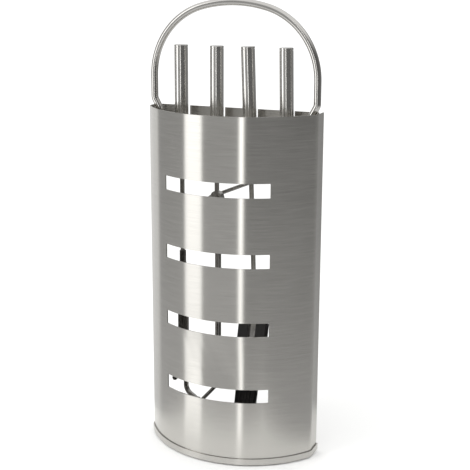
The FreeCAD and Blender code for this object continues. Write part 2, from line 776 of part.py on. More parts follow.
def shovel():
    """A shallow pan of sheet, riveted to the flattened end of its rod."""
    placement = hung(value("outer_tool"), value("shovel_turn"), value("shovel_lean"))
    grip("shovel", placement)
    flat = value("flat_thick")
    top, shoulder, low = value("blade_top"), value("blade_shoulder"), value("blade_low")
    half, neck, skin = value("blade_half"), value("blade_neck_half"), value("blade_sheet")
    front = value("rod_radius")
    tongue = slab((-value("tongue_half"), front - flat, top - 46), (value("tongue_half"), front, top + 4))
    pins = []
    for number in range(2):
        height = top - 14 - number * value("blade_rivet_pitch")
        pins.append(rivet(Vector(0, front - flat, height), (0, 1, 0), flat + skin, 1.6, 3.2, 1.0))
    formed("shovel_rivets", Part.makeCompound(pins), placement)
    formed("shovel_rod", shaft(top - 2).fuse(tongue).cut(pins).removeSplitter(), placement)
    around = [(-neck, top), (neck, top), (half, shoulder), (half, low), (-half, low), (-half, shoulder)]
    sheet_part = outline_slab(around, value("blade_wall"), front)
    trim = skin / math.cos(math.atan2(half - neck, top - shoulder)) * 1.25
    inside = [
        (-neck + trim, top - skin), (neck - trim, top - skin), (half - skin, shoulder - trim / 2),
        (half - skin, low - 5), (-half + skin, low - 5), (-half + skin, shoulder - trim / 2),
    ]
    dish = outline_slab(inside, value("blade_wall"), front + skin)
    formed("shovel_blade", sheet_part.cut([dish, *pins]), placement)


def check_and_write():
    """Stop at any failed object, then write each sub-part to its own file."""
    doc.recompute()
    for made in doc.Objects:
        if {"Invalid", "Error"} & set(made.State):
            sys.exit(f"failed object: {made.Name} {made.State}")
    os.makedirs("parts", exist_ok=True)
    for made in PIECES:
        shape = made.Shape
        if shape.isNull() or not shape.isValid() or shape.Volume <= 0:
            sys.exit(f"bad shape: {made.Label}")
        shape.exportStep(os.path.join("parts", made.Label + ".step"))
        print(f"{made.Label:22s} {len(shape.Solids):2d} solids {shape.Volume / 1000:9.2f} cm3")


front_shell()
base()
brackets()
rack()
carry_handle()
poker()
tongs()
brush()
shovel()
check_and_write()
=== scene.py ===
"""The finish of a fireside tool stand: a bowed steel wall, a rack, a carrying loop and four tools.

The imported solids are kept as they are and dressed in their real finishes. The brush's tufts and the
weld spots of the brackets are new pieces, worked out as whole arrays.
"""

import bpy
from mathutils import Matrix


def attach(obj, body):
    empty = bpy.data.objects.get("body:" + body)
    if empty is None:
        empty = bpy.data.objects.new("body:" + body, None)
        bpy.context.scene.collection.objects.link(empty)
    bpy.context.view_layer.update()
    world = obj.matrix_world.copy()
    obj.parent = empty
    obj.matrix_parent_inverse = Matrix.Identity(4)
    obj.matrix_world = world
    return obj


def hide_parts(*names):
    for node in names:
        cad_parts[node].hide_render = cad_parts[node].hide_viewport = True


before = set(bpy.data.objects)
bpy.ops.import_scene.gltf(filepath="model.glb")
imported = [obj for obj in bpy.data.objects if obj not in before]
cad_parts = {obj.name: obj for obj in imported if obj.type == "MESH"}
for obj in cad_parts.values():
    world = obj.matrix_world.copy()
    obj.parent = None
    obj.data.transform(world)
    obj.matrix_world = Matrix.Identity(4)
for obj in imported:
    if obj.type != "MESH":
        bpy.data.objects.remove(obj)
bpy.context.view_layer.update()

import logging
import math
from dataclasses import dataclass
from enum import Enum
from typing import Any, Iterable

import bpy
import numpy as np
from mathutils import Matrix

LOG = logging.getLogger("tool_stand")
MM = 0.001
Colour = tuple[float, float, float, float]


class Grain(Enum):
    """Which way the belt or the wheel ran over a steel part."""

    LEVEL = "level"
    NONE = "none"


class Body(Enum):
    """The bodies that new pieces ride on, by the names that the frame gives them."""

    STAND = "stand"
    BRUSH = "brush"


# ------------------------------------------------------------------ small helpers
def linear_colour(code: str) -> Colour:
    """Turn an sRGB hex colour into linear light.

    Args:
        code: six hex digits, with or without a leading hash.

    Returns:
        Red, green, blue and an alpha of one.
    """
    digits = code.lstrip("#")
    shares = [int(digits[place:place + 2], 16) / 255 for place in (0, 2, 4)]
    light = [s / 12.92 if s <= 0.04045 else ((s + 0.055) / 1.055) ** 2.4 for s in shares]
    return (light[0], light[1], light[2], 1.0)


def add_node(
    tree: bpy.types.NodeTree,
    kind: str,
    settings: dict[str, Any] | None = None,
    inputs: dict[str | int, Any] | None = None,
) -> bpy.types.Node:
    """Add a shader node with its settings, values and links.

    Args:
        tree: the node tree that gets the node.
        kind: the node's type name, without the leading ShaderNode.
        settings: properties of the node itself.
        inputs: a value, or an output socket to link from, for each input by name or number.

    Returns:
        The new node.
    """
    node = tree.nodes.new("ShaderNode" + kind)
    for key, value in (settings or {}).items():
        setattr(node, key, value)
    for key, value in (inputs or {}).items():
        if isinstance(value, bpy.types.NodeSocket):
            tree.links.new(value, node.inputs[key])
        else:
            node.inputs[key].default_value = value
    return node


def grid_quads(rows: int, columns: int, closed: bool) -> np.ndarray:
    """Number the quads of a grid of points, row by row.

    Args:
        rows: how many rows of points there are.
        columns: how many points a row has.
        closed: whether the last point of a row joins its first.

    Returns:
        An array of four point numbers a quad.
    """
    row = np.arange(rows - 1)[:, None]
    column = np.arange(columns if closed else columns - 1)[None, :]
    after = (column + 1) % columns
    corners = [row * columns + column, row * columns + after,
               (row + 1) * columns + after, (row + 1) * columns + column]
    return np.stack(np.broadcast_arrays(*corners), axis=-1).reshape(-1, 4)


def add_piece(
    name: str,
    points: np.ndarray,
    faces: list[tuple[int, ...]] | list[list[int]],
    body: Body,
    finish: bpy.types.Material,
) -> bpy.types.Object:
    """Make a mesh object whose place is in its mesh, and let it ride on a body.

    Args:
        name: the piece's name.
        points: its points, one a row, in metres in the row frame.
        faces: the point numbers of each face, turning left round its outward side.
        body: the body it moves with.
        finish: its material.

    Returns:
        The new object.
    """
    mesh = bpy.data.meshes.new(name)
    mesh.from_pydata(points.tolist(), [], faces)
    mesh.materials.append(finish)
    mesh.validate()
    mesh.update()
    mesh.shade_smooth()
    piece = bpy.data.objects.new(name, mesh)
    bpy.context.scene.collection.objects.link(piece)
    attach(piece, body.value)
    LOG.info("%s: %d points, %d faces, rides on %s", name, len(points), len(faces), body.value)
    return piece


def dress(nodes: Iterable[str], finish: bpy.types.Material) -> None:
    """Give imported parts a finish, and leave their shapes alone.

    Args:
        nodes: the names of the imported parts.
        finish: the material that goes into each one's first slot.
    """
    for name in nodes:
        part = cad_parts[name]
        if not part.material_slots:
            part.data.materials.append(finish)
        part.material_slots[0].material = finish
        LOG.info("%s: finished in %s", name, finish.name)


# ------------------------------------------------------------------ finishes
@dataclass(frozen=True)
class Finish:
    """A real surface: its name, colour and gloss, and how its pattern is laid."""

    name: str
    colour: str
    roughness: float

    def start(self, metallic: float) -> tuple[bpy.types.NodeTree, bpy.types.Node, bpy.types.NodeSocket]:
        """Begin the material with a shader and object coordinates.

        Args:
            metallic: one for bare metal, nothing for everything else.

        Returns:
            The node tree, its Principled shader, and the coordinate socket in metres.
        """
        material = bpy.data.materials.new(self.name)
        material.use_nodes = True
        tree = material.node_tree
        tree.nodes.clear()
        shader = add_node(tree, "BsdfPrincipled", inputs={
            "Base Color": linear_colour(self.colour), "Roughness": self.roughness, "Metallic": metallic,
        })
        add_node(tree, "OutputMaterial", inputs={"Surface": shader.outputs["BSDF"]})
        place = add_node(tree, "TexCoord").outputs["Object"]
        return tree, shader, place

    def noise(
        self,
        tree: bpy.types.NodeTree,
        place: bpy.types.NodeSocket,
        cell_mm: tuple[float, float, float],
        detail: float = 2.0,
    ) -> bpy.types.NodeSocket:
        """Noise whose cells have a real size along each axis.

        Args:
            tree: the material's node tree.
            place: coordinates in metres.
            cell_mm: the length of a cell along x, y and z, in millimetres.
            detail: how many finer layers are added.

        Returns:
            The noise value's socket, from nothing to one.
        """
        per_metre = tuple(1000 / length for length in cell_mm)
        scaled = add_node(tree, "Mapping", inputs={"Vector": place, "Scale": per_metre})
        made = add_node(tree, "TexNoise", inputs={
            "Vector": scaled.outputs[0], "Scale": 1.0, "Detail": detail, "Roughness": 0.6,
        })
        return made.outputs["Fac"]

    def spread(
        self, tree: bpy.types.NodeTree, value: bpy.types.NodeSocket, low: float, high: float
    ) -> bpy.types.NodeSocket:
        """Stretch the middle of a noise over a new range.

        Args:
            tree: the material's node tree.
            value: the noise, whose useful part lies between 0.3 and 0.7.
            low: what 0.3 becomes.
            high: what 0.7 becomes.

        Returns:
            The new value's socket.
        """
        return add_node(tree, "MapRange", inputs={
            "Value": value, "From Min": 0.3, "From Max": 0.7, "To Min": low, "To Max": high,
        }).outputs["Result"]

    def shaded(
        self, tree: bpy.types.NodeTree, share: bpy.types.NodeSocket, dark: str, light: str
    ) -> bpy.types.NodeSocket:
        """Go from one colour to another with a value.

        Args:
            tree: the material's node tree.
            share: nothing for the first colour, one for the second.
            dark: the first colour, as sRGB hex.
            light: the second colour, as sRGB hex.

        Returns:
            The colour's socket.
        """
        mixed = add_node(tree, "Mix", {"data_type": "RGBA"}, {
            0: share, 6: linear_colour(dark), 7: linear_colour(light),
        })
        return mixed.outputs[2]


@dataclass(frozen=True)
class BrushedSteel(Finish):
    """Stainless sheet run under an abrasive belt: fine level lines that smear reflections upright."""

    shadow: str = "#C2C0BB"
    spread_along: float = 1.0
    line_mm: float = 1.1
    streak_mm: float = 46.0
    depth_mm: float = 0.0018

    def material(self) -> bpy.types.Material:
        """Build it.

        Returns:
            The material. Its highlights run across the belt lines, so upright walls show upright bands.
        """
        tree, shader, place = self.start(1.0)
        # Real belt lines are 0.05 to 0.2 mm apart; they are drawn about 1 mm apart so that they show.
        lines = self.noise(tree, place, (self.streak_mm, self.streak_mm, self.line_mm), 4.0)
        # The floor of the pan and the top of the rack face up, so their lines are parted across y.
        flat_lines = self.noise(tree, place, (self.streak_mm, self.line_mm, self.streak_mm), 4.0)
        upright = add_node(tree, "SeparateXYZ", inputs={
            0: add_node(tree, "NewGeometry").outputs["Normal"],
        }).outputs["Z"]
        facing_up = add_node(tree, "MapRange", inputs={
            "Value": add_node(tree, "Math", {"operation": "ABSOLUTE"}, {0: upright}).outputs[0],
            "From Min": 0.6, "From Max": 0.8,
        }).outputs["Result"]
        belt = add_node(tree, "Mix", {"data_type": "FLOAT"}, {
            0: facing_up, 2: lines, 3: flat_lines,
        }).outputs[0]
        # Handling leaves wide, faint clouds of a slightly duller sheet.
        clouds = self.noise(tree, place, (70.0, 70.0, 55.0))
        share = add_node(tree, "Math", {"operation": "MULTIPLY_ADD"}, {
            0: self.spread(tree, belt, 0.0, 0.8), 1: 1.0, 2: self.spread(tree, clouds, 0.0, 0.2),
        }).outputs[0]
        tree.links.new(self.shaded(tree, share, self.shadow, self.colour), shader.inputs["Base Color"])
        rough = add_node(tree, "Math", {"operation": "ADD"}, {
            0: self.spread(tree, belt, self.roughness - 0.015, self.roughness + 0.015),
            1: self.spread(tree, clouds, -0.008, 0.012),
        }).outputs[0]
        tree.links.new(rough, shader.inputs["Roughness"])
        bump = add_node(tree, "Bump", inputs={
            "Height": belt, "Distance": self.depth_mm * MM, "Strength": 1.0,
        })
        tree.links.new(bump.outputs[0], shader.inputs["Normal"])
        shader.inputs["Anisotropic"].default_value = self.spread_along
        # Across the lines is upwards on a wall; the small share of y serves the faces that look up.
        across = add_node(tree, "CombineXYZ", inputs={"Y": 0.05, "Z": 1.0})
        tree.links.new(across.outputs[0], shader.inputs["Tangent"])
        return bpy.data.materials[self.name]


@dataclass(frozen=True)
class PolishedSteel(Finish):
    """Stainless tube or bar polished after bending: long clean reflections with a few hairlines."""

    shadow: str = "#C6C4C0"
    depth_mm: float = 0.0001
    grain: Grain = Grain.NONE

    def material(self) -> bpy.types.Material:
        """Build it.

        Returns:
            The material, smooth to the eye with hairlines and finger marks that change its gloss.
        """
        tree, shader, place = self.start(1.0)
        # Finger marks are 12 to 20 mm wide; hairlines are drawn 0.6 mm apart so that they show.
        marks = self.noise(tree, place, (16.0, 16.0, 22.0))
        length = 30.0 if self.grain is Grain.LEVEL else 5.0
        hairlines = self.noise(tree, place, (length, length, 0.6), 3.0)
        share = add_node(tree, "Math", {"operation": "MULTIPLY_ADD"}, {
            0: self.spread(tree, hairlines, 0.5, 0.75), 1: 1.0, 2: self.spread(tree, marks, 0.0, 0.25),
        }).outputs[0]
        tree.links.new(self.shaded(tree, share, self.shadow, self.colour), shader.inputs["Base Color"])
        rough = add_node(tree, "Math", {"operation": "ADD"}, {
            0: self.spread(tree, hairlines, self.roughness - 0.004, self.roughness + 0.004),
            1: self.spread(tree, marks, -0.004, 0.01),
        }).outputs[0]
        tree.links.new(rough, shader.inputs["Roughness"])
        bump = add_node(tree, "Bump", inputs={
            "Height": hairlines, "Distance": self.depth_mm * MM, "Strength": 0.6,
        })
        tree.links.new(bump.outputs[0], shader.inputs["Normal"])
        if self.grain is Grain.LEVEL:
            shader.inputs["Anisotropic"].default_value = 0.85
            across = add_node(tree, "CombineXYZ", inputs={"Y": 0.05, "Z": 1.0})
            tree.links.new(across.outputs[0], shader.inputs["Tangent"])
        return bpy.data.materials[self.name]


@dataclass(frozen=True)
class DrawnSteel(Finish):
    """Bright drawn steel rod or a plated small part: even gloss with a trace of die lines and dulling."""

    shadow: str = "#8F8D89"
    cell_mm: float = 6.0

    def material(self) -> bpy.types.Material:
        """Build it.

        Returns:
            The material, with soft clouds of dulling and a fine pebble of plating.
        """
        tree, shader, place = self.start(1.0)
        dulling = self.noise(tree, place, (self.cell_mm, self.cell_mm, 4 * self.cell_mm), 3.0)
        # Plating grows in grains of about 0.4 mm.
        grains = self.noise(tree, place, (0.4, 0.4, 0.9))
        share = self.spread(tree, dulling, 0.1, 1.0)
        tree.links.new(self.shaded(tree, share, self.shadow, self.colour), shader.inputs["Base Color"])
        rough = self.spread(tree, dulling, self.roughness + 0.06, self.roughness - 0.04)
        tree.links.new(rough, shader.inputs["Roughness"])
        bump = add_node(tree, "Bump", inputs={"Height": grains, "Distance": 0.01 * MM, "Strength": 0.5})
        tree.links.new(bump.outputs[0], shader.inputs["Normal"])
        return bpy.data.materials[self.name]


@dataclass(frozen=True)
class ForgedSteel(Finish):
    """Steel with its dark heat scale, worn bright where it rubs."""

    bright: str = "#8A8782"
    scale_mm: float = 3.0

    def material(self) -> bpy.types.Material:
        """Build it.

        Returns:
            The material, mottled by scale a few millimetres wide and pitted like a hammered face.
        """
        tree, shader, place = self.start(1.0)
        scale = self.noise(tree, place, (self.scale_mm, self.scale_mm, 1.6 * self.scale_mm), 4.0)
        worn = self.noise(tree, place, (9.0, 9.0, 26.0), 3.0)
        share = add_node(tree, "Math", {"operation": "MULTIPLY", "use_clamp": True}, {
            0: self.spread(tree, worn, 0.0, 1.0), 1: self.spread(tree, scale, 0.1, 1.0),
        }).outputs[0]
        tree.links.new(self.shaded(tree, share, self.colour, self.bright), shader.inputs["Base Color"])
        rough = self.spread(tree, scale, self.roughness + 0.1, self.roughness - 0.08)
        tree.links.new(rough, shader.inputs["Roughness"])
        bump = add_node(tree, "Bump", inputs={"Height": scale, "Distance": 0.08 * MM, "Strength": 0.7})
        tree.links.new(bump.outputs[0], shader.inputs["Normal"])
        return bpy.data.materials[self.name]


@dataclass(frozen=True)
class DarkSurface(Finish):
    """A black part that isn't metal: rubber, moulded plastic, lacquered wood or powder coat."""

    light: str = "#2B2A29"
    grain_mm: tuple[float, float, float] = (0.8, 0.8, 0.8)
    depth_mm: float = 0.04
    coat: float = 0.0

    def material(self) -> bpy.types.Material:
        """Build it.

        Returns:
            The material, with its own grain size, a little dust in the hollows and a coat if it has one.
        """
        tree, shader, place = self.start(0.0)
        grain = self.noise(tree, place, self.grain_mm, 3.0)
        dust = self.noise(tree, place, (14.0, 14.0, 14.0))
        share = add_node(tree, "Math", {"operation": "MULTIPLY", "use_clamp": True}, {
            0: self.spread(tree, grain, 0.2, 1.0), 1: self.spread(tree, dust, 0.3, 1.0),
        }).outputs[0]
        tree.links.new(self.shaded(tree, share, self.colour, self.light), shader.inputs["Base Color"])
        rough = self.spread(tree, grain, self.roughness - 0.06, self.roughness + 0.06)
        tree.links.new(rough, shader.inputs["Roughness"])
        bump = add_node(tree, "Bump", inputs={
            "Height": grain, "Distance": self.depth_mm * MM, "Strength": 0.8,
        })
        tree.links.new(bump.outputs[0], shader.inputs["Normal"])
        shader.inputs["Coat Weight"].default_value = self.coat
        shader.inputs["Coat Roughness"].default_value = 0.25
        return bpy.data.materials[self.name]


@dataclass(frozen=True)
class BristleFibre(Finish):
    """Black-dyed fibre: each one a little lighter or darker, with greyed tips from ash."""

    tip: str = "#4A4642"

    def material(self) -> bpy.types.Material:
        """Build it.

        Returns:
            The material, which reads each fibre's own tone and how near its tip a point is.
        """
        tree, shader, place = self.start(0.0)
        tone = add_node(tree, "Attribute", {"attribute_name": "tone"}).outputs["Fac"]
        reach = add_node(tree, "Attribute", {"attribute_name": "reach"}).outputs["Fac"]
        ash = add_node(tree, "MapRange", inputs={
            "Value": reach, "From Min": 0.82, "From Max": 1.0, "To Min": 0.0, "To Max": 0.5,
        }).outputs["Result"]
        specks = self.noise(tree, place, (1.5, 1.5, 4.0))
        share = add_node(tree, "Math", {"operation": "MULTIPLY_ADD", "use_clamp": True}, {
            0: self.spread(tree, specks, 0.5, 1.0), 1: ash,
            2: add_node(tree, "Math", {"operation": "MULTIPLY"}, {0: tone, 1: 0.35}).outputs[0],
        }).outputs[0]
        tree.links.new(self.shaded(tree, share, self.colour, self.tip), shader.inputs["Base Color"])
        rough = self.spread(tree, specks, self.roughness - 0.05, self.roughness + 0.08)
        tree.links.new(rough, shader.inputs["Roughness"])
        return bpy.data.materials[self.name]


# ------------------------------------------------------------------ the stand
@dataclass
class Stand:
    """The wall, the pan with its ballast and feet, the rack and the carrying loop."""

    bracket_side: float = 128.5
    bracket_y: float = 36.5
    front_inside: float = -48.5
    spot_radius: float = 2.6
    spot_rise: float = 0.35
    front_spot_height: float = 18.5
    side_spot_height: float = 18.5
    spot_apart: float = 8.0
    bracket_sheet: float = 2.5
    wall: BrushedSteel = BrushedSteel("brushed_stainless_wall", "#CFCDC8", 0.22)
    pan: BrushedSteel = BrushedSteel("brushed_stainless_pan", "#CECCC8", 0.24, streak_mm=60.0)
    rack: BrushedSteel = BrushedSteel("brushed_stainless_rack", "#CDCBC7", 0.28, line_mm=0.9)
    loop: PolishedSteel = PolishedSteel("polished_stainless_loop", "#D6D4D0", 0.11)
    plated: DrawnSteel = DrawnSteel("bright_zinc_plate", "#B9B8B6", 0.26)
    weld: ForgedSteel = ForgedSteel("welded_steel_spot", "#6E675F", 0.4, scale_mm=0.8)
    rubber: DarkSurface = DarkSurface("moulded_rubber", "#0D0D0D", 0.72)
    powder: DarkSurface = DarkSurface(
        "black_powder_coat", "#101010", 0.5, light="#1E1E1E", grain_mm=(1.2, 1.2, 1.2), depth_mm=0.08,
    )

    def weld_spot(
        self, number: int, middle: np.ndarray, outwards: np.ndarray, finish: bpy.types.Material
    ) -> None:
        """A resistance weld: a shallow dimple with a raised ring, turned about its own axis.

        The radius r runs from the middle to the rim, and the height over the sheet is a ring
        exp(-((r - 0.75) / 0.16)^2) less a bowl 0.5 exp(-(r / 0.45)^2), brought to nothing at the rim.

        Args:
            number: which spot it is, for its name.
            middle: its middle on the sheet, in millimetres.
            outwards: the direction that the sheet faces there.
            finish: its material.
        """
        rings, around = 9, 24
        share = np.linspace(0.0, 1.0, rings)[1:]
        turn = np.linspace(0.0, 2 * math.pi, around, endpoint=False)
        ring = np.exp(-(((share - 0.75) / 0.16) ** 2)) - 0.5 * np.exp(-((share / 0.45) ** 2))
        rise = self.spot_rise * (ring * (1 - share ** 6) + 0.5 * (1 - share ** 6))
        side = np.cross(outwards, (0.0, 0.0, 1.0))
        upward = np.cross(side, outwards)
        flat = (np.cos(turn)[None, :, None] * side + np.sin(turn)[None, :, None] * upward)
        grid = middle + share[:, None, None] * self.spot_radius * flat + rise[:, None, None] * outwards
        points = np.vstack([grid.reshape(-1, 3), middle, middle - outwards * 0.5])
        first, under = (rings - 1) * around, (rings - 1) * around + 1
        step = np.arange(around)
        after = (step + 1) % around
        last = (rings - 2) * around
        faces = grid_quads(rings - 1, around, True)[:, ::-1].tolist()
        faces += np.stack([np.full(around, first), after, step], axis=1)[:, ::-1].tolist()
        faces += np.stack([np.full(around, under), last + step, last + after], axis=1)[:, ::-1].tolist()
        add_piece(f"weld_spot_{number}", points * MM, faces, Body.STAND, finish)

    def make_weld_spots(self) -> None:
        """Two spots on each side bracket and two on the front one, where they hold the wall."""
        finish = self.weld.material()
        middles: list[tuple[np.ndarray, np.ndarray]] = []
        for sign in (-1.0, 1.0):
            face = sign * (self.bracket_side - self.bracket_sheet)
            for shift in (-1.0, 1.0):
                middles.append((
                    np.array([face, self.bracket_y + shift * self.spot_apart / 2, self.side_spot_height]),
                    np.array([-sign, 0.0, 0.0]),
                ))
        for shift in (-1.0, 1.0):
            middles.append((
                np.array([shift * self.spot_apart / 2, self.front_inside + self.bracket_sheet,
                          self.front_spot_height]),
                np.array([0.0, 1.0, 0.0]),
            ))
        for number, (middle, outwards) in enumerate(middles, start=1):
            self.weld_spot(number, middle, outwards, finish)

    def build(self) -> None:
        """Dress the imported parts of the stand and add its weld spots."""
        dress(["front_shell"], self.wall.material())
        dress(["base_pan"], self.pan.material())
        dress(["tool_rack"], self.rack.material())
        dress(["carry_handle"], self.loop.material())
        small = ["base_screws", "front_bracket", "left_bracket", "right_bracket"]
        small += [f"{side}_leg_{part}" for side in ("left", "right") for part in ("collar", "nut", "washer")]
        dress(small, self.plated.material())
        dress([f"rubber_foot_{number}" for number in range(1, 5)], self.rubber.material())
        dress(["ballast_plate"], self.powder.material())
        self.make_weld_spots()


# ------------------------------------------------------------------ the tools
@dataclass
class Handles:
    """The four tube grips with their caps and plugs, and the rods that they hold."""

    tools: tuple[str, ...] = ("poker", "tongs", "brush", "shovel")
    tube: PolishedSteel = PolishedSteel("satin_stainless_grip", "#DDDBD7", 0.17, grain=Grain.LEVEL)
    rod: DrawnSteel = DrawnSteel("bright_drawn_rod", "#BDBBB8", 0.2)
    plug: DarkSurface = DarkSurface("moulded_polyethylene", "#111111", 0.45, grain_mm=(0.5, 0.5, 0.5))

    def build(self) -> None:
        """Dress the grips, caps, plugs and rods."""
        tube = self.tube.material()
        dress([f"{tool}_{part}" for tool in self.tools for part in ("grip", "cap")], tube)
        dress([f"{tool}_plug" for tool in self.tools], self.plug.material())
        rods = ["poker_rod", "brush_rod", "shovel_rod", "tongs_fixed_leg", "tongs_moving_leg", "tongs_lever"]
        dress(rods + ["tongs_rivet", "brush_rivets", "shovel_rivets"], self.rod.material())


@dataclass
class IronWork:
    """The poker's ribbed point and the shovel's blade."""

    point: ForgedSteel = ForgedSteel("forged_scale_steel", "#4A4845", 0.34, bright="#9C9994")
    blade: ForgedSteel = ForgedSteel("pressed_dark_steel", "#4A4845", 0.34, bright="#A09D98", scale_mm=5.0)

    def build(self) -> None:
        """Dress the two dark steel parts."""
        dress(["poker_point"], self.point.material())
        dress(["shovel_blade"], self.blade.material())


@dataclass
class BrushHead:
    """The brush's block and its tufts, in the brush's own tilted frame."""

    side: float = 25.5
    row: float = 31.0
    seat: float = 501.0
    lean_degrees: float = 2.0
    grip_radius: float = 10.0
    kick_degrees: float = 21.0
    kick_height: float = 200.0
    under_block: float = 148.0
    middle: float = -3.0
    root_half: float = 17.0
    root_depth: float = 4.2
    tip_half: float = 13.9
    tip_depth: float = 9.4
    length: float = 101.0
    columns: int = 11
    rows: int = 4
    fibres: int = 30
    fibre_radius: float = 0.27
    stations: int = 6
    block: DarkSurface = DarkSurface(
        "black_lacquered_beech", "#0C0B0B", 0.4, light="#1C1917", grain_mm=(0.7, 0.7, 14.0),
        depth_mm=0.05, coat=0.3,
    )
    fibre: BristleFibre = BristleFibre("black_dyed_fibre", "#0B0A0A", 0.42)

    def in_row_frame(self, points: np.ndarray) -> np.ndarray:
        """Carry points of the hanging brush to where the head really is.

        The head turns about x through the kick height, then the whole brush leans about y through
        its seat on the rack and moves to its notch.

        Args:
            points: places in millimetres, with the rod standing on the z axis.

        Returns:
            The same places in the row frame, in millimetres.
        """
        kick = np.array(Matrix.Rotation(-math.radians(self.kick_degrees), 3, "X"))
        lean = np.array(Matrix.Rotation(-math.radians(self.lean_degrees), 3, "Y"))
        pivot = np.array([0.0, 0.0, self.kick_height])
        seat = np.array([0.0, 0.0, self.seat])
        raised = self.grip_radius * math.sin(math.radians(self.lean_degrees)) * 1.1
        kicked = pivot + (points - pivot) @ kick.T
        leant = seat + (kicked - seat) @ lean.T
        return leant + np.array([self.side, self.row, raised])

    def make_tufts(self) -> bpy.types.Object:
        """All fibres as thin tapering tubes, worked out at once.

        A fibre goes from its hole to its tip along root + (tip - root) t + bow t (1 - t), where the
        tips spread over a wider rectangle, and its radius falls by a third towards the tip.

        Returns:
            The tufts as one piece.
        """
        draw = np.random.default_rng(31)
        holes_x, holes_y = np.meshgrid(
            np.linspace(-1.0, 1.0, self.columns), np.linspace(-1.0, 1.0, self.rows), indexing="ij"
        )
        hole = np.stack([holes_x.ravel(), holes_y.ravel()], axis=1)
        share = np.repeat(hole, self.fibres, axis=0)
        count = len(share)
        scatter = draw.normal(0.0, 1.0, (count, 2))
        root = share * [self.root_half - 1.5, self.root_depth - 1.2] + np.clip(scatter, -1.6, 1.6) * 0.7
        tip = share * [self.tip_half - 1.5, self.tip_depth - 2.0] + scatter * [1.0, 1.3]
        tip = np.clip(tip, [-self.tip_half, -self.tip_depth], [self.tip_half, self.tip_depth])
        short = draw.uniform(0.0, 3.5, count) + 1.5 * np.abs(tip[:, 0] / self.tip_half) ** 4
        along = np.linspace(0.0, 1.0, self.stations)
        bow = draw.normal(0.0, 1.6, (count, 2))
        flat = (root[:, None] + (tip - root)[:, None] * along[None, :, None]
                + bow[:, None] * (along * (1 - along))[None, :, None])
        drop = self.under_block + 1.0 - along[None, :] * (self.length + 1.0 - short[:, None])
        line = np.concatenate([flat + [0.0, self.middle], drop[..., None]], axis=-1)
        turn = np.linspace(0.0, 2 * math.pi, 3, endpoint=False) + draw.uniform(0.0, 2.0, (count, 1))
        thin = self.fibre_radius * (1 - along / 3)
        ring = np.stack([np.cos(turn), np.sin(turn), np.zeros_like(turn)], axis=-1)
        tube = line[:, :, None] + ring[:, None] * thin[None, :, None, None]
        per_fibre = self.stations * 3
        points = self.in_row_frame(tube.reshape(-1, 3))
        first = np.arange(count)[:, None, None] * per_fibre
        quads = (first + grid_quads(self.stations, 3, True)[None]).reshape(-1, 4)[:, ::-1]
        start = np.arange(count)[:, None] * per_fibre
        roots = (start + np.array([0, 1, 2])).tolist()
        tips = (start + per_fibre - 3 + np.array([2, 1, 0])).tolist()
        faces = quads.tolist() + roots + tips
        piece = add_piece("brush_tufts", points * MM, faces, Body.BRUSH, self.fibre.material())
        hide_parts("brush_bristles")
        tone = np.repeat(draw.uniform(0.0, 1.0, count), per_fibre)
        reach = np.tile(np.repeat(along, 3), count)
        for name, values in (("tone", tone), ("reach", reach)):
            piece.data.attributes.new(name, "FLOAT", "POINT").data.foreach_set("value", values)
        return piece

    def build(self) -> None:
        """Dress the block and set the tufts in it."""
        dress(["brush_block"], self.block.material())
        self.make_tufts()


